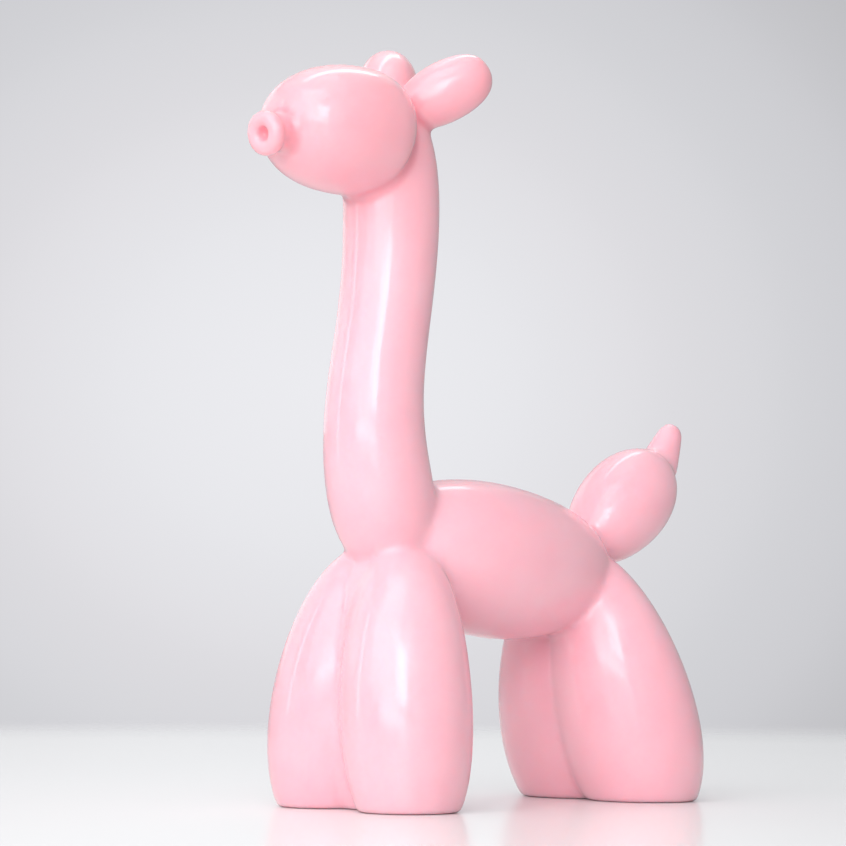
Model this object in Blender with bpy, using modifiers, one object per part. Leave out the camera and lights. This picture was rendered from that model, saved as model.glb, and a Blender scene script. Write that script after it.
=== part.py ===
"""Balloon giraffe figurine, cast as one solid piece.

Metres, +Z up.  The giraffe faces -Y and stands on z = 0, with the middle of its
bounding box at x = y = 0.  Each air pocket of the balloon is a sphere drawn out
along a curve.  The pockets sink into one another at the twists, and a union
joins them into one body.
"""

import math

import bmesh
import bpy
from mathutils import Matrix, Vector

MM = 0.001

# Air pockets, in mm: x to the giraffe's left, -y ahead, z up from its feet.
#   path      control points of the curve that the pocket follows
#   radii     one radius, or three for the start, middle and end of the path
#   widest    where along the path, from 0 to 1, the equator of the sphere lies
#   pinch     how the start and the end close: 0.5 is round, less is blunt, more is drawn thin
#   fullness  how long the start and the end keep their radius: 2 is an ellipsoid, 8 a tube
#   width     side to side, as a share of the depth
NECK = {"path": [(0, -35.8, 81.6), (0, -61.9, 142.6), (0, -29.3, 154.3), (0, -42.8, 232.5)],
        "radii": (20.3, 15.6, 18.0), "widest": 0.5, "pinch": (0.295, 0.32), "fullness": (7, 7)}
BODY = {"path": [(0, -44.8, 92.6), (0, 5.5, 78.2), (0, 55.9, 79.6)],
        "radii": (26.3,), "widest": 0.505, "pinch": (0.5, 0.375), "width": 1.02}
HEAD = {"path": [(0, -40.3, 220.1), (0, -65.3, 223.5), (0, -90.2, 217.4)],
        "radii": (21.2,), "widest": 0.39, "pinch": (0.68, 0.37), "fullness": (2.1, 3), "width": 1.1}
TAIL = {"path": [(0, 51.6, 86.2), (0, 91.1, 119.4)],
        "radii": (16.5,), "widest": 0.525, "pinch": (0.45, 0.52)}
TAIL_TIP = {"path": [(0, 88.2, 114.2), (0, 98.4, 132.7)],
            "radii": (8.1, 5.9, 3.7), "widest": 0.5, "pinch": (0.5, 0.5), "fullness": (8, 8)}
FRONT_LEG = {"path": [(7.0, -37.9, 83.9), (19.6, -50.9, 36.7), (20.8, -46.9, -10.6)],
             "radii": (21.9,), "widest": 0.56, "pinch": (0.345, 0.37), "width": 0.96}
FRONT_WEB = {"path": [(0, -42, 84), (0, -52.3, 38), (0, -45.5, -10)],
             "radii": (10, 13, 7.5), "widest": 0.5, "pinch": (0.5, 0.5), "fullness": (8, 8), "width": 0.78,
             "segments": 22, "rings": 12}
HIND_LEG = {"path": [(5.7, 46.8, 86.4), (13.3, 54.8, 37.4), (18.7, 70.7, -11.5)],
            "radii": (23.2,), "widest": 0.59, "pinch": (0.545, 0.48), "width": 1.12}
EAR = {"radii": (10.2,), "widest": 0.52, "pinch": (0.36, 0.37)}
LEFT_EAR_PATH = [(3.2, -38.8, 228.6), (22.4, -16.2, 244.9)]
RIGHT_EAR_PATH = [(-2.7, -39.2, 228.8), (-23.8, -19.7, 252.7)]

FOOT_ROUNDING = 1.6
HEAD_TURN = math.radians(4.4)  # to the left, about the twist behind the head

# Mouth of the balloon: a short collar with a rolled lip round a blind hole, in mm.
LIP_RADIUS = 7.5
LIP_THICKNESS = 5.4
LIP_STEPS = 9
COLLAR_RADIUS = 6.0
COLLAR_FLARE = 1.5  # widening where it meets the head
MOUTH_LENGTH = 9.8
MOUTH_ROOT = 6.0  # how far it runs on inside the head
MOUTH_DROP = 0.4  # below the front end of the head's curve
MOUTH_DROOP = math.radians(11.4)
HOLE_RADIUS = 2.0
HOLE_DEPTH = 4.0

PINK = (0.91, 0.50, 0.56, 1.0)
ROUGHNESS = 0.28


def new_collection(name):
    collection = bpy.data.collections.new(name)
    bpy.context.scene.collection.children.link(collection)
    return collection


def new_object(name, bm, collection):
    mesh = bpy.data.meshes.new(name)
    bm.to_mesh(mesh)
    bm.free()
    obj = bpy.data.objects.new(name, mesh)
    collection.objects.link(obj)
    return obj


def hide(obj):
    obj.hide_render = True
    obj.display_type = "WIRE"


def point_on_curve(path, t):
    """Point at t (0 to 1) on the Bezier curve with these control points."""
    points = [Vector(point) for point in path]
    while len(points) > 1:
        points = [a.lerp(b, t) for a, b in zip(points, points[1:])]
    return points[0]


def radius_at(radii, t):
    """The only radius, or the parabola through the radii at t = 0, 0.5 and 1."""
    if len(radii) == 1:
        return radii[0]
    start, middle, end = radii
    return start * (1 - t) * (1 - 2 * t) + middle * 4 * t * (1 - t) + end * t * (2 * t - 1)


def pocket(name, path, radii, widest, pinch, fullness=(2, 2), width=1.0, segments=24, rings=16):
    """An air pocket: a sphere whose poles go to the two ends of the path."""
    bm = bmesh.new()
    bmesh.ops.create_uvsphere(bm, u_segments=segments, v_segments=rings, radius=1.0)
    for vert in bm.verts:
        x, y, z = vert.co
        t = min(max(widest + z / 2 + z * z * (0.5 - widest), 0.0), 1.0)
        along = (1 + z) / 2
        exponent = pinch[0] + (pinch[1] - pinch[0]) * along
        power = fullness[0] + (fullness[1] - fullness[0]) * along
        section = max(0.0, 1 - abs(z) ** power) ** exponent * radius_at(radii, t)
        ahead = point_on_curve(path, min(t + 0.001, 1)) - point_on_curve(path, max(t - 0.001, 0))
        up = ahead.cross(Vector((1, 0, 0))).normalized()
        side = up.cross(ahead).normalized()
        angle = math.atan2(y, x)
        offset = side * math.cos(angle) * width + up * math.sin(angle)
        vert.co = (point_on_curve(path, t) + offset * section) * MM
    obj = new_object(name, bm, pockets)
    hide(obj)
    return obj


def mirrored(sizes):
    """The same pocket on the other side."""
    return dict(sizes, path=[(-x, y, z) for x, y, z in sizes["path"]])


def leg(name, sizes):
    """A pocket that runs on below the ground, cut flat there with a rounded foot edge."""
    obj = pocket(name, **sizes)
    cut = obj.modifiers.new("ground", "BOOLEAN")
    cut.operation = "DIFFERENCE"
    cut.solver = "EXACT"
    cut.object = ground
    foot = obj.modifiers.new("foot edge", "BEVEL")
    foot.limit_method = "ANGLE"
    foot.angle_limit = math.radians(45)
    foot.width = FOOT_ROUNDING * MM
    foot.segments = 2


def turn_head(obj):
    """Turns an object of the head about the twist behind it."""
    twist = Vector(HEAD["path"][0]) * MM
    turned = Matrix.Translation(twist) @ Matrix.Rotation(HEAD_TURN, 4, "Z") @ Matrix.Translation(-twist)
    obj.matrix_world = turned @ obj.matrix_basis


def mouth():
    """Collar and rolled lip: a profile turned round local Z, which points out of the nose."""
    lip = LIP_THICKNESS / 2
    profile = [(0, MOUTH_LENGTH - HOLE_DEPTH), (HOLE_RADIUS, MOUTH_LENGTH - HOLE_DEPTH)]
    for step in range(LIP_STEPS + 1):
        angle = math.pi * (1 - step / LIP_STEPS)
        profile.append((LIP_RADIUS - lip + lip * math.cos(angle), MOUTH_LENGTH - lip + lip * math.sin(angle)))
    profile += [(COLLAR_RADIUS, MOUTH_LENGTH - 2 * lip), (COLLAR_RADIUS, MOUTH_LENGTH / 4)]
    profile += [(COLLAR_RADIUS + COLLAR_FLARE / 3, 0), (COLLAR_RADIUS + COLLAR_FLARE, -MOUTH_ROOT)]
    profile.append((0, -MOUTH_ROOT))
    bm = bmesh.new()
    verts = [bm.verts.new((x * MM, 0, z * MM)) for x, z in profile]
    for a, b in zip(verts, verts[1:]):
        bm.edges.new((a, b))
    obj = new_object("mouth", bm, pockets)
    hide(obj)
    turn = obj.modifiers.new("turned", "SCREW")
    turn.steps = 20
    turn.render_steps = 20
    turn.use_merge_vertices = True
    turn.merge_threshold = 0.0001
    out = Vector((0, -math.cos(MOUTH_DROOP), -math.sin(MOUTH_DROOP)))
    obj.location = (Vector(HEAD["path"][-1]) - Vector((0, 0, MOUTH_DROP))) * MM
    obj.rotation_euler = out.to_track_quat("Z", "X").to_euler()
    return obj


def balloon_pockets():
    """Every pocket but the neck, which the others are joined to."""
    leg("front leg left", FRONT_LEG)
    leg("front leg right", mirrored(FRONT_LEG))
    leg("web between the front legs", FRONT_WEB)
    leg("hind leg left", HIND_LEG)
    leg("hind leg right", mirrored(HIND_LEG))
    pocket("body", **BODY)
    pocket("tail", **TAIL, rings=12)
    pocket("tail tip", **TAIL_TIP, segments=14, rings=10)
    pocket("ear left", LEFT_EAR_PATH, **EAR, segments=20, rings=14)
    pocket("ear right", RIGHT_EAR_PATH, **EAR, segments=20, rings=14)
    turn_head(pocket("head", **HEAD))
    turn_head(mouth())


def resin():
    material = bpy.data.materials.new("pink satin resin")
    material.use_nodes = True
    shader = material.node_tree.nodes["Principled BSDF"]
    shader.inputs["Base Color"].default_value = PINK
    shader.inputs["Roughness"].default_value = ROUGHNESS
    shader.inputs["Metallic"].default_value = 0.0
    return material


def giraffe():
    """The whole casting: the neck with every other pocket joined to it."""
    obj = pocket("giraffe", **NECK, rings=26)
    pockets.objects.unlink(obj)
    balloon.objects.link(obj)
    obj.hide_render = False
    obj.display_type = "TEXTURED"
    join = obj.modifiers.new("twists", "BOOLEAN")
    join.operation = "UNION"
    join.solver = "EXACT"
    join.operand_type = "COLLECTION"
    join.collection = pockets
    obj.data.materials.append(resin())
    obj.data.shade_smooth()


for obj in list(bpy.data.objects):
    bpy.data.objects.remove(obj)
balloon = new_collection("balloon giraffe")
pockets = new_collection("pockets")
cutters = new_collection("cutters")
bpy.ops.mesh.primitive_cube_add(size=0.4, location=(0, 0, -0.2))
ground = bpy.context.object
ground.name = "ground"
for collection in ground.users_collection:
    collection.objects.unlink(ground)
cutters.objects.link(ground)
hide(ground)
balloon_pockets()
giraffe()
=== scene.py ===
import math

import bmesh
import bpy
import numpy
from mathutils import Matrix, Vector


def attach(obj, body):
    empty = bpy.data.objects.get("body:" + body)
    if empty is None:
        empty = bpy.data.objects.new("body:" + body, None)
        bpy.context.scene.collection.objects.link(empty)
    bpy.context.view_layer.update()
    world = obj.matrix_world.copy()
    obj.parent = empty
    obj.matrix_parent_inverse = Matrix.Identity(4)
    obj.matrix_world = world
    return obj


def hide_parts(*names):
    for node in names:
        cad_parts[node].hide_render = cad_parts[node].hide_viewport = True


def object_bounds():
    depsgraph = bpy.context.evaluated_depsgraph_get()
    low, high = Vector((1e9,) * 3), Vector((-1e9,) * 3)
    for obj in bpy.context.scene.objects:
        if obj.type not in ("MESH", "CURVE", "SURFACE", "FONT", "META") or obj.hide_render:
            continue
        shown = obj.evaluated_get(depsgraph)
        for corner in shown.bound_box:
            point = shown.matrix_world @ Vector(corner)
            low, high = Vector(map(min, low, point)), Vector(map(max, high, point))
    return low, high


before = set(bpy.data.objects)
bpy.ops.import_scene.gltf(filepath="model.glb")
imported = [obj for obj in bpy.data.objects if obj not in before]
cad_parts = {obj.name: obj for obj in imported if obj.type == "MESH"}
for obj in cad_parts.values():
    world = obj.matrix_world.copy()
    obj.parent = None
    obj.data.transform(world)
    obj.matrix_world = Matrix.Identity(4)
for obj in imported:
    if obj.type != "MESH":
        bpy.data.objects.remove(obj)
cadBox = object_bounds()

mm = 0.001
print("frame loaded, the solid's box is", [round(side / mm, 1) for side in cadBox[1] - cadBox[0]], "mm")


def toLinear(hexColour):  # sRGB hex to the linear colour that shaders take
    channels = [int(hexColour[i:i + 2], 16) / 255 for i in (1, 3, 5)]
    return [c / 12.92 if c <= 0.04045 else ((c + 0.055) / 1.055) ** 2.4 for c in channels] + [1.0]


def addNode(tree, kind, settings=(), links=()):  # links: (this node's input, other node, its output)
    node = tree.nodes.new(kind)
    for key, value in dict(settings).items():
        if isinstance(key, int) or key in node.inputs:
            node.inputs[key].default_value = value
        else:
            setattr(node, key, value)
    for inputName, other, outputName in links:
        tree.links.new(other.outputs[outputName], node.inputs[inputName])
    return node


def direction(azimuth, elevation):  # degrees as seen from the figure: 0 is ahead of it, 90 its left
    azimuth, elevation = math.radians(azimuth), math.radians(elevation)
    return Vector((math.sin(azimuth) * math.cos(elevation), -math.cos(azimuth) * math.cos(elevation),
                   math.sin(elevation)))


def addTo(bm, part):  # joins on a part that was made in a bmesh of its own
    scratch = bpy.data.meshes.new("scratch")
    part.to_mesh(scratch)
    part.free()
    bm.from_mesh(scratch)
    bpy.data.meshes.remove(scratch)


def toObject(name, bm):
    mesh = bpy.data.meshes.new(name)
    bm.to_mesh(mesh)
    bm.free()
    made = bpy.data.objects.new(name, mesh)
    bpy.context.scene.collection.objects.link(made)
    return made


# Balloon giraffe: air pockets, each a sphere drawn out along a curve, fused at their twists.
# Places and radii in mm, in the frame: x to its left, -y ahead, z up from the feet.
# widest is where the sphere's equator lies along the curve, pinch how pointed its two ends are
# (0.5 is round, less is blunt, more is drawn thin), and fullness how long each end keeps its
# radius (2 is an ellipsoid, 8 a tube).
pockets = {
    "neck": {"path": [(0, -35.8, 81.6), (0, -61.9, 142.6), (0, -29.3, 154.3), (0, -42.8, 232.5)],
             "radii": (20.3, 15.6, 18.0), "widest": 0.5, "pinch": (0.295, 0.32), "fullness": (7, 7)},
    "body": {"path": [(0, -44.8, 92.6), (0, 5.5, 78.2), (0, 55.9, 79.6)],
             "radii": (26.3,), "widest": 0.505, "pinch": (0.5, 0.375), "width": 1.02},
    "head": {"path": [(0, -40.3, 220.1), (0, -65.3, 223.5), (0, -90.2, 217.4)],
             "radii": (21.2,), "widest": 0.39, "pinch": (0.68, 0.37), "fullness": (2.1, 3), "width": 1.1},
    "leftEar": {"path": [(3.2, -38.8, 228.6), (22.4, -16.2, 244.9)],
                "radii": (10.3,), "widest": 0.52, "pinch": (0.36, 0.37)},
    "rightEar": {"path": [(-2.7, -39.2, 228.8), (-23.8, -19.7, 252.7)],
                 "radii": (10.3,), "widest": 0.52, "pinch": (0.36, 0.37)},
    "frontLeg": {"path": [(7.0, -37.9, 83.9), (19.6, -50.9, 36.7), (20.8, -46.9, -10.6)],
                 "radii": (21.9,), "widest": 0.56, "pinch": (0.345, 0.37), "width": 0.96},
    "frontWeb": {  # closes the gap between the front legs
        "path": [(0, -42, 84), (0, -52.3, 38), (0, -45.5, -10)],
        "radii": (10, 12.2, 7.5), "widest": 0.5, "pinch": (0.5, 0.5), "fullness": (8, 8), "width": 0.78},
    "hindLeg": {"path": [(5.7, 46.8, 86.4), (13.3, 54.8, 37.4), (18.7, 70.7, -11.5)],
                "radii": (23.2,), "widest": 0.59, "pinch": (0.545, 0.48), "width": 1.12},
    "tail": {"path": [(0, 51.6, 86.2), (0, 91.1, 119.4)],
             "radii": (16.5,), "widest": 0.525, "pinch": (0.45, 0.52)},
    "tailTip": {"path": [(0, 88.2, 114.2), (0, 98.6, 133.0)],
                "radii": (8.2, 6.0, 3.9), "widest": 0.5, "pinch": (0.5, 0.5), "fullness": (8, 8)},
}
mouth = {  # mm: a rolled lip round a blind hole, on a short collar
    "lipRadius": 7.5,
    "lipThickness": 5.4,
    "lipRoll": 243,  # degrees that the lip's edge rolls round
    "lipSteps": 24,
    "collarRadius": 6.0,
    "collarFlare": 1.6,
    "collarWaist": 2.45,  # how high above the nose the collar is thinnest
    "length": 9.8,
    "holeDepth": 4.0,
    "root": 6.0,  # how far it runs back into the head
    "drop": 0.4,  # how far it sits below the head's tip
    "droop": 11.4,  # degrees that it points down
    "segments": 96,
}
casting = {
    "headTurn": 4.4,  # degrees to the left
    "segments": 128,
    "rings": 96,
    "voxel": 1.05,  # mm, the grain of the skin that fuses the pockets
    "softening": 10,  # rounds of smoothing: they give the twists their fillets
    "mouthSoftening": 3,
    "softer": [  # boxes with wider fillets: two corners in mm, rounds, and whether z moves as well
        ((-9, -80, -1), (9, -36, 76), 14, False),  # along the web
        ((-26, -80, 72), (26, -28, 92), 6, True),  # where the neck meets the front legs
    ],
}


def pointOnCurve(path, t):
    points = [Vector(point) for point in path]
    while len(points) > 1:
        points = [a.lerp(b, t) for a, b in zip(points, points[1:])]
    return points[0]


def radiusAt(radii, t):  # one radius, or three joined by a parabola
    if len(radii) == 1:
        return radii[0]
    start, middle, end = radii
    return start * (1 - t) * (1 - 2 * t) + middle * 4 * t * (1 - t) + end * t * (2 * t - 1)


def ringAt(z, path, radii, widest, pinch, fullness, width):  # middle and half axes of a pocket's section
    t = min(max(widest + z / 2 + z * z * (0.5 - widest), 0.0), 1.0)
    along = (1 + z) / 2
    exponent = pinch[0] + (pinch[1] - pinch[0]) * along
    power = fullness[0] + (fullness[1] - fullness[0]) * along
    section = max(0.0, 1 - abs(z) ** power) ** exponent * radiusAt(radii, t) * mm
    near = 0.001  # how far along the curve on either side its direction is taken
    ahead = pointOnCurve(path, min(t + near, 1)) - pointOnCurve(path, max(t - near, 0))
    up = ahead.cross(Vector((1, 0, 0))).normalized()
    side = up.cross(ahead).normalized()
    return pointOnCurve(path, t) * mm, side * section * width, up * section


def addPocket(bm, path, radii, widest, pinch, fullness=(2, 2), width=1.0):
    made = bmesh.ops.create_uvsphere(bm, u_segments=casting["segments"], v_segments=casting["rings"],
                                     radius=1.0)
    rings = {}
    for vert in made["verts"]:
        x, y, z = vert.co
        level = round(z, 5)
        if level not in rings:
            rings[level] = ringAt(z, path, radii, widest, pinch, fullness, width)
        middle, side, up = rings[level]
        reach = math.hypot(x, y) or 1.0
        vert.co = middle + side * (x / reach) + up * (y / reach)


def addLeg(bm, sizes):  # a pocket that runs on below the ground, cut off flat there
    leg = bmesh.new()
    addPocket(leg, **sizes)
    everything = leg.verts[:] + leg.edges[:] + leg.faces[:]
    cut = bmesh.ops.bisect_plane(leg, geom=everything, plane_co=(0, 0, 0), plane_no=(0, 0, -1),
                                 clear_outer=True)
    rim = [item for item in cut["geom_cut"] if isinstance(item, bmesh.types.BMEdge)]
    bmesh.ops.edgeloop_fill(leg, edges=rim)
    bmesh.ops.recalc_face_normals(leg, faces=leg.faces[:])
    addTo(bm, leg)


def addMouth(bm):  # a profile turned about Z, then set on the nose
    lip = mouth["lipThickness"] / 2
    length = mouth["length"]
    floorOfHole = length - mouth["holeDepth"]
    profile = [(0, floorOfHole), (mouth["lipRadius"] - 2 * lip, floorOfHole)]
    for step in range(mouth["lipSteps"] + 1):
        angle = math.pi - math.radians(mouth["lipRoll"]) * step / mouth["lipSteps"]
        profile.append((mouth["lipRadius"] - lip + lip * math.cos(angle),
                        length - lip + lip * math.sin(angle)))
    collar, flare = mouth["collarRadius"], mouth["collarFlare"]
    profile += [(collar, mouth["collarWaist"]), (collar + flare / 3, 0),
                (collar + flare, -mouth["root"]), (0, -mouth["root"])]
    mouthPiece = bmesh.new()
    verts = [mouthPiece.verts.new((x * mm, 0, z * mm)) for x, z in profile]
    edges = [mouthPiece.edges.new(pair) for pair in zip(verts, verts[1:])]
    bmesh.ops.spin(mouthPiece, geom=verts + edges, cent=(0, 0, 0), axis=(0, 0, 1), dvec=(0, 0, 0),
                   angle=2 * math.pi, steps=mouth["segments"], use_merge=True, use_duplicate=False)
    bmesh.ops.remove_doubles(mouthPiece, verts=mouthPiece.verts[:], dist=0.001 * mm)
    bmesh.ops.recalc_face_normals(mouthPiece, faces=mouthPiece.faces[:])
    droop = math.radians(mouth["droop"])
    out = Vector((0, -math.cos(droop), -math.sin(droop)))
    nose = (Vector(pockets["head"]["path"][-1]) - Vector((0, 0, mouth["drop"]))) * mm
    place = Matrix.Translation(nose) @ out.to_track_quat("Z", "X").to_matrix().to_4x4()
    bmesh.ops.transform(mouthPiece, matrix=place, verts=mouthPiece.verts[:])
    addTo(bm, mouthPiece)


def addHead(bm):  # turned a little about the twist behind it
    addPocket(bm, **pockets["head"])
    addMouth(bm)
    twist = Vector(pockets["head"]["path"][0]) * mm
    turn = Matrix.Rotation(math.radians(casting["headTurn"]), 4, "Z")
    turn = Matrix.Translation(twist) @ turn @ Matrix.Translation(-twist)
    bmesh.ops.transform(bm, matrix=turn, verts=bm.verts[:])


def fuse(rough):  # voxels make one skin of the pockets that run into one another
    remesh = rough.modifiers.new("fuse", "REMESH")
    remesh.mode = "VOXEL"
    remesh.voxel_size = casting["voxel"] * mm
    fused = bpy.data.meshes.new_from_object(rough.evaluated_get(bpy.context.evaluated_depsgraph_get()))
    bpy.data.meshes.remove(rough.data)
    return fused


def smoothOnce(bm, verts, upright=True):
    bmesh.ops.smooth_vert(bm, verts=verts, factor=0.5, use_axis_x=True, use_axis_y=True, use_axis_z=upright)


def soften(bm):  # fillets at the twists, less of them round the mouth
    noseTip = pockets["head"]["path"][-1][1] * mm
    for step in range(casting["softening"]):
        verts = bm.verts[:]
        if step >= casting["mouthSoftening"]:
            verts = [v for v in verts if v.co.y > noseTip]
        smoothOnce(bm, verts)
    for low, high, rounds, upright in casting["softer"]:
        verts = [v for v in bm.verts if all(low[i] * mm < v.co[i] < high[i] * mm for i in range(3))]
        for step in range(rounds):
            smoothOnce(bm, verts, upright)


def buildGiraffe():
    bm = bmesh.new()
    addHead(bm)
    for name in ("neck", "body", "leftEar", "rightEar", "tail", "tailTip"):
        addPocket(bm, **pockets[name])
    for name in ("frontLeg", "hindLeg"):
        addLeg(bm, pockets[name])
        otherSide = [(-x, y, z) for x, y, z in pockets[name]["path"]]
        addLeg(bm, dict(pockets[name], path=otherSide))
    addLeg(bm, pockets["frontWeb"])
    fused = fuse(toObject("giraffePockets", bm))
    bm = bmesh.new()
    bm.from_mesh(fused)
    bpy.data.meshes.remove(fused)
    soften(bm)
    for face in bm.faces:
        face.smooth = True
    print("giraffe fused:", len(bm.faces), "faces")
    return toObject("giraffeCasting", bm)


def fitToFrame(piece):  # the casting fills the solid's box exactly
    low = Vector([min(v.co[i] for v in piece.data.vertices) for i in range(3)])
    high = Vector([max(v.co[i] for v in piece.data.vertices) for i in range(3)])
    scale = [(cadBox[1][i] - cadBox[0][i]) / (high[i] - low[i]) for i in range(3)]
    place = Matrix.Translation(cadBox[0]) @ Matrix.Diagonal((*scale, 1)) @ Matrix.Translation(-low)
    piece.data.transform(place)
    print("fitted to the frame, scaled by", [round(s, 4) for s in scale])


def markTwists(mesh):  # a vertex attribute: 0 on open surface, towards 1 deep in a twist; it places the painted shade in the twists
    def read(data, key, wide, kind=float):  # a row of values for each vertex or edge
        values = numpy.empty(len(data) * wide, dtype=kind)
        data.foreach_get(key, values)
        return values.reshape(-1, wide)

    count = len(mesh.vertices)
    places = read(mesh.vertices, "co", 3)
    normals = read(mesh.vertices, "normal", 3)
    ends = read(mesh.edges, "vertices", 2, int)
    ends = numpy.concatenate([ends, ends[:, ::-1]])
    neighbours = numpy.bincount(ends[:, 0], minlength=count)

    def around(values):  # mean of each vertex's neighbours
        return numpy.bincount(ends[:, 0], weights=values[ends[:, 1]], minlength=count) / neighbours

    means = numpy.stack([around(places[:, axis]) for axis in range(3)], axis=1)
    hollow = ((means - places) * normals).sum(axis=1) / mm  # mm that the neighbours stand proud
    for step in range(resin["twistSpread"]):
        hollow = 0.5 * hollow + 0.5 * around(hollow)
    depth = numpy.clip(hollow / resin["twistDepth"], 0, 1)
    mesh.attributes.new("twist", "FLOAT", "POINT").data.foreach_set("value", depth)
    print("twists marked on", int((depth > 0).sum()), "of", count, "vertices")


# Cast resin, sprayed pink with satin lacquer: faintly clouded, with painted shade towards the head
# and in the twists there, soft where light carries inside it, and bright in narrow streaks where the lacquer
# mirrors a softbox.
resin = {
    "colour": "#F1B1BE",
    "paler": "#F2B8C4",
    "deeper": "#F1ABB6",  # painted shade: a little darker towards the head, to deepen the shade under the chin
    "deeperFrom": 150,  # mm above the feet
    "deeperTo": 240,
    "twistShade": "#E78F9C",  # painted shade in the twists there, deepest at the mouth's collar and under the chin
    "twistDepth": 0.03,  # mm that a vertex lies below its neighbours where a twist counts as deepest
    "twistSpread": 6,  # rounds of averaging that widen the twists
    "clouds": 26,  # mm, size of the faint paler patches
    "cloudEdge": (0.35, 0.65),  # where in the noise the patches begin and are fully paler
    "roughness": (0.37, 0.47),
    "glossPatches": 8,  # mm, size of the patches that are a little duller or glossier
    "unevenness": 11,  # mm from crest to crest of the hand-smoothed surface
    "unevenDepth": 0.06,  # mm
    "orangePeel": 1.3,  # mm from crest to crest of the lacquer's texture
    "orangePeelDepth": 0.004,  # mm
    "scatter": 0.6,  # share of the light that goes into the resin
    "scatterDepth": 6,  # mm that red light spreads there
    "scatterColours": (1.0, 0.25, 0.2),  # how far red, green and blue spread, beside that depth
    "refraction": 1.5,
    "gloss": 0.3,  # low, since most of the gloss is the lacquer's
    "coat": 0.8,
    "coatRoughness": 0.11,
}

giraffe = buildGiraffe()
fitToFrame(giraffe)
markTwists(giraffe.data)
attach(giraffe, "root")
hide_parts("giraffe")


def lacqueredResin():
    material = bpy.data.materials.new("lacqueredCastResin")
    material.use_nodes = True
    tree = material.node_tree
    shader = tree.nodes["Principled BSDF"]
    place = addNode(tree, "ShaderNodeTexCoord")

    noise = {}
    for name, detail in (("clouds", 2), ("glossPatches", 3), ("unevenness", 1), ("orangePeel", 2)):
        noise[name] = addNode(tree, "ShaderNodeTexNoise", {"Scale": 1 / (resin[name] * mm), "Detail": detail},
                              [("Vector", place, "Object")])

    # Colour: faint paler clouds, then painted shade: darker towards the head, and darker still in the twists
    # there.
    tint = addNode(tree, "ShaderNodeMapRange",
                   {"From Min": resin["cloudEdge"][0], "From Max": resin["cloudEdge"][1]},
                   [("Value", noise["clouds"], "Fac")])
    base = addNode(tree, "ShaderNodeMix",  # inputs 6 and 7 are its two colours, output 2 the mixed one
                   {"data_type": "RGBA", 6: toLinear(resin["colour"]), 7: toLinear(resin["paler"])},
                   [("Factor", tint, "Result")])
    spot = addNode(tree, "ShaderNodeSeparateXYZ", links=[("Vector", place, "Object")])
    # painted shade: the colour darkens towards the head, to deepen the shade under the chin
    height = addNode(tree, "ShaderNodeMapRange",
                     {"interpolation_type": "SMOOTHSTEP", "From Min": resin["deeperFrom"] * mm,
                      "From Max": resin["deeperTo"] * mm}, [("Value", spot, "Z")])
    headShaded = addNode(tree, "ShaderNodeMix", {"data_type": "RGBA", 7: toLinear(resin["deeper"])},
                     [("Factor", height, "Result"), (6, base, 2)])
    # painted shade: the twists near the head are darkened where shade gathers in them
    twist = addNode(tree, "ShaderNodeAttribute", {"attribute_name": "twist"})
    twistShading = addNode(tree, "ShaderNodeMath", {"operation": "MULTIPLY"},
                       [(0, height, "Result"), (1, twist, "Fac")])
    colour = addNode(tree, "ShaderNodeMix", {"data_type": "RGBA", 7: toLinear(resin["twistShade"])},
                     [("Factor", twistShading, "Value"), (6, headShaded, 2)])
    tree.links.new(colour.outputs[2], shader.inputs["Base Color"])

    # Surface: patches of gloss, a hand-smoothed form and the lacquer's fine texture on it.
    gloss = addNode(tree, "ShaderNodeMapRange",
                    {"To Min": resin["roughness"][0], "To Max": resin["roughness"][1]},
                    [("Value", noise["glossPatches"], "Fac")])
    tree.links.new(gloss.outputs["Result"], shader.inputs["Roughness"])
    uneven = addNode(tree, "ShaderNodeBump", {"Strength": 1.0, "Distance": resin["unevenDepth"] * mm},
                     [("Height", noise["unevenness"], "Fac")])
    peel = addNode(tree, "ShaderNodeBump", {"Strength": 1.0, "Distance": resin["orangePeelDepth"] * mm},
                   [("Height", noise["orangePeel"], "Fac"), ("Normal", uneven, "Normal")])
    tree.links.new(peel.outputs["Normal"], shader.inputs["Normal"])
    tree.links.new(peel.outputs["Normal"], shader.inputs["Coat Normal"])

    shader.inputs["Subsurface Weight"].default_value = resin["scatter"]
    shader.inputs["Subsurface Radius"].default_value = resin["scatterColours"]
    shader.inputs["Subsurface Scale"].default_value = resin["scatterDepth"] * mm
    shader.inputs["IOR"].default_value = resin["refraction"]
    shader.inputs["Specular IOR Level"].default_value = resin["gloss"]
    shader.inputs["Coat Weight"].default_value = resin["coat"]
    shader.inputs["Coat Roughness"].default_value = resin["coatRoughness"]
    return material


giraffe.data.materials.append(lacqueredResin())
print("resin and lacquer done")

view = {  # degrees and mm
    "azimuth": 46.29,  # where the camera stands, as seen from the figure
    "distance": 1000,
    "height": 56.2,  # above the floor
    "aside": 4.0,  # moved along the figure, towards its tail
    "yaw": 47.5,  # the azimuth that it looks from
    "pitch": 4.15,  # how far it is tipped up
    "roll": 0.34,
    "sensor": 36,
    "focal": 125.23,
    "reach": 20000,  # how far it sees
}


def addCamera():
    camera = bpy.data.objects.new("camera", bpy.data.cameras.new("camera"))
    bpy.context.scene.collection.objects.link(camera)
    bpy.context.scene.camera = camera
    camera.data.sensor_width = view["sensor"]
    camera.data.lens = view["focal"]
    camera.data.clip_end = view["reach"] * mm
    camera.location = (direction(view["azimuth"], 0) * view["distance"]
                       + Vector((0, view["aside"], view["height"]))) * mm
    ahead = -direction(view["yaw"], -view["pitch"])
    turn = Matrix.Rotation(math.radians(view["roll"]), 3, "Z").to_quaternion()
    camera.rotation_mode = "QUATERNION"
    camera.rotation_quaternion = ahead.to_track_quat("-Z", "Y") @ turn


addCamera()

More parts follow.
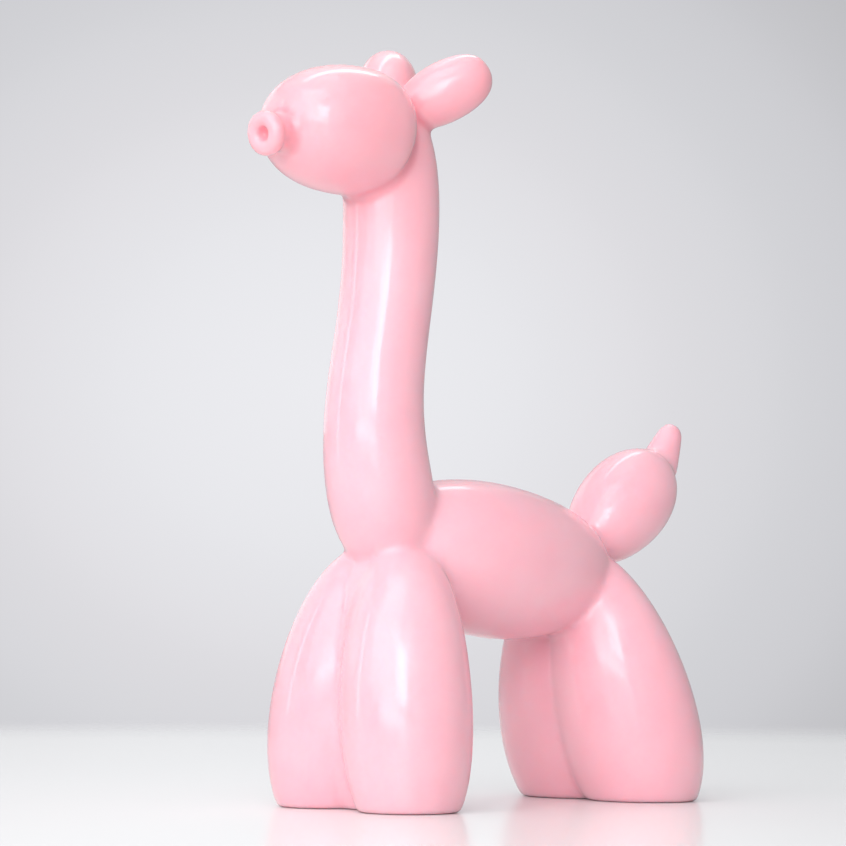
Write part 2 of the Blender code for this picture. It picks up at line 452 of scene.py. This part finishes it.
stage = {
    "floor": "#ECEDED",
    "floorRoughness": 0.2,
    "floorSegments": 128,
    "floorFade": 0.6,  # m from the figure, where the floor starts to fade
    "floorSize": 1.0,  # m, where it has faded into the backdrop
    "patchAzimuth": 229.5,  # where the backdrop is brightest, in degrees from the figure
    "patchElevation": 4.9,
    "patch": (0.45, 0.45, 0.378),  # half axes of the lit patch, as a share of its distance
    "backdrop": {  # from the patch's rim, 0, to its middle, 1
        0.0: "#A8A9AA", 0.3: "#A6A6A9", 0.45: "#BABABD", 0.55: "#CACACE",
        0.65: "#D5D5D9", 0.75: "#DFDEE2", 0.85: "#E7E7EB", 1.0: "#ECECF0"},
    "aim": (0, 0, 0.13),  # m, the figure's middle, which the softboxes face
}


def addFloor():  # white board, glossy enough to mirror the feet, that fades out away from the figure
    bm = bmesh.new()
    bmesh.ops.create_circle(bm, cap_ends=True, segments=stage["floorSegments"], radius=stage["floorSize"])
    floor = toObject("floor", bm)
    material = bpy.data.materials.new("glossyWhiteBoard")
    material.use_nodes = True
    tree = material.node_tree
    shader = tree.nodes["Principled BSDF"]
    shader.inputs["Base Color"].default_value = toLinear(stage["floor"])
    shader.inputs["Roughness"].default_value = stage["floorRoughness"]
    place = addNode(tree, "ShaderNodeTexCoord")
    middle = addNode(tree, "ShaderNodeVectorMath", {"operation": "LENGTH"}, [("Vector", place, "Object")])
    fade = addNode(tree, "ShaderNodeMapRange",
                   {"interpolation_type": "SMOOTHSTEP", "From Min": stage["floorFade"],
                    "From Max": stage["floorSize"], "To Min": 1.0, "To Max": 0.0},
                   [("Value", middle, "Value")])
    tree.links.new(fade.outputs["Result"], shader.inputs["Alpha"])
    floor.data.materials.append(material)


def addBackdrop():  # paper with a wide soft patch of light behind the figure, and a dim studio all round
    world = bpy.data.worlds.new("studio")
    bpy.context.scene.world = world
    world.use_nodes = True
    tree = world.node_tree
    middle = direction(stage["patchAzimuth"], stage["patchElevation"])
    way = addNode(tree, "ShaderNodeTexCoord")
    patch = addNode(tree, "ShaderNodeMapping",
                    {"vector_type": "TEXTURE", "Location": middle, "Scale": stage["patch"],
                     "Rotation": (0, 0, math.radians(stage["patchAzimuth"]))}, [("Vector", way, "Generated")])
    fade = addNode(tree, "ShaderNodeTexGradient", {"gradient_type": "SPHERICAL"},
                   [("Vector", patch, "Vector")])
    ramp = addNode(tree, "ShaderNodeValToRGB", links=[("Fac", fade, "Fac")])
    ramp.color_ramp.interpolation = "CARDINAL"
    stops = stage["backdrop"]
    for position in list(stops)[1:-1]:
        ramp.color_ramp.elements.new(position)
    for stop, (position, colour) in zip(ramp.color_ramp.elements, stops.items()):
        stop.position = position
        stop.color = toLinear(colour)
    tree.links.new(ramp.outputs["Color"], tree.nodes["Background"].inputs["Color"])


addFloor()
addBackdrop()

lights = {  # softboxes: degrees as seen from the figure (0 is ahead, 90 its left), metres and watts
    "fillBig": {"azimuth": 12, "elevation": 27, "distance": 1.6, "size": (1.5, 1.0), "power": 8.3},
    "fillTop": {"azimuth": 20, "elevation": 58, "distance": 1.6, "size": (1.1, 0.7), "power": 5.4},
    "windowHigh": {"azimuth": 22, "elevation": 32, "distance": 1.3, "size": (0.5, 0.5), "power": 0.7},
    "windowLow": {"azimuth": 22, "elevation": 8, "distance": 1.3, "size": (0.5, 0.45), "power": 1.15},
    "coreHigh": {"azimuth": 45, "elevation": 28, "distance": 1.3, "size": (0.46, 0.28), "power": 1.7},
    "coreLow": {"azimuth": 44, "elevation": 16, "distance": 1.3, "size": (0.46, 0.24), "power": 1.75},
    "coreStrip": {"azimuth": 46, "elevation": 22, "distance": 1.3, "size": (0.2, 0.5), "power": 1.1},
    "sill": {"azimuth": 44, "elevation": 0, "distance": 1.3, "size": (0.44, 0.24), "power": 0.75},
    "ledge": {"azimuth": 28, "elevation": 6, "distance": 1.3, "size": (1.1, 0.12), "power": 1.7},
    "side": {"azimuth": 66, "elevation": 8, "distance": 1.3, "size": (0.5, 0.45), "power": 0.5},
    "sideHigh": {"azimuth": 62, "elevation": 33, "distance": 1.3, "size": (0.4, 0.5), "power": 0.85},
    "frontHigh": {"azimuth": -10, "elevation": 35, "distance": 1.3, "size": (0.6, 0.5), "power": 0.3},
    "leftStrip": {"azimuth": -40, "elevation": 15, "distance": 1.3, "size": (0.12, 0.8), "power": 0.95},
    "right": {"azimuth": -65, "elevation": 22, "distance": 1.4, "size": (0.6, 0.8), "power": 1.2},
    "farRight": {"azimuth": -98, "elevation": 20, "distance": 1.4, "size": (0.8, 0.8), "power": 1.8},
    "behind": {"azimuth": -135, "elevation": 33, "distance": 1.4, "size": (0.8, 0.6), "power": 0.45},
    "overheadStrip": {"azimuth": -122, "elevation": 64, "distance": 1.2, "size": (1.05, 0.15), "power": 1.5,
                      "turn": 35},
    "overheadRight": {"azimuth": -113, "elevation": 58, "distance": 1.2, "size": (1.1, 0.5), "power": 0.7},
    "overheadLeft": {"azimuth": 41, "elevation": 68, "distance": 1.24, "size": (1.2, 0.14), "power": 0.75,
                     "turn": 23},
    "top": {"azimuth": 0, "elevation": 90, "distance": 1.5, "size": (0.7, 0.7), "power": 1.5},
    "backTop": {"azimuth": 225, "elevation": 60, "distance": 1.6, "size": (1.2, 1.2), "power": 1.2},
}


def addSoftbox(name, azimuth, elevation, distance, size, power, turn=0):
    light = bpy.data.objects.new(name, bpy.data.lights.new(name, "AREA"))
    bpy.context.scene.collection.objects.link(light)
    light.data.shape = "RECTANGLE"
    light.data.size, light.data.size_y = size
    light.data.energy = power
    towards = direction(azimuth, elevation)
    light.location = towards * distance + Vector(stage["aim"])
    light.rotation_mode = "QUATERNION"
    light.rotation_quaternion = ((-towards).to_track_quat("-Z", "Y")
                                 @ Matrix.Rotation(math.radians(turn), 3, "Z").to_quaternion())
    light.visible_camera = False


for name, settings in lights.items():
    addSoftbox(name, **settings)
bpy.context.scene.view_settings.view_transform = "Standard"
print("stage and", len(lights), "lights done")
